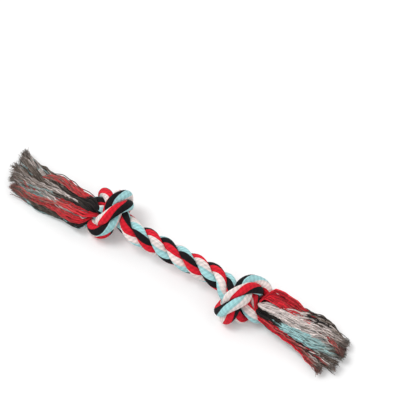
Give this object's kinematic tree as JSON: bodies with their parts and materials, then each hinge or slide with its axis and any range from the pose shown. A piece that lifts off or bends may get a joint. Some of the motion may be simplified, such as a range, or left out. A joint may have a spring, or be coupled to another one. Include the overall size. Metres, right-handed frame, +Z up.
{
  "type": "rope dog toy",
  "caption": "Tug toy of three twisted multicoloured cotton strands, with an overhand knot near each end and frayed yarn tassels beyond the knots.",
  "frame": {"origin": "on the floor under the middle of the toy, halfway between the tassels' tips", "axes": "+X along the rope, towards the knot whose tassel sways to +Y; +Z up; the toy lies on its knots"},
  "size_m": [0.3656, 0.0622, 0.044],
  "materials": {
    "white_cotton": "matte cotton yarn",
    "aqua_cotton": "matte cotton yarn",
    "black_cotton": "matte cotton yarn",
    "red_cotton": "matte cotton yarn"
  },
  "bodies": {
    "root": {"first_strand_white_yarns": "white_cotton", "first_strand_aqua_yarns": "aqua_cotton", "first_strand_black_yarns": "black_cotton", "first_strand_red_yarns": "red_cotton", "second_strand_white_yarns": "white_cotton", "second_strand_aqua_yarns": "aqua_cotton", "second_strand_black_yarns": "black_cotton", "second_strand_red_yarns": "red_cotton", "third_strand_white_yarns": "white_cotton", "third_strand_aqua_yarns": "aqua_cotton", "third_strand_black_yarns": "black_cotton", "third_strand_red_yarns": "red_cotton"}
  },
  "joints": []
}
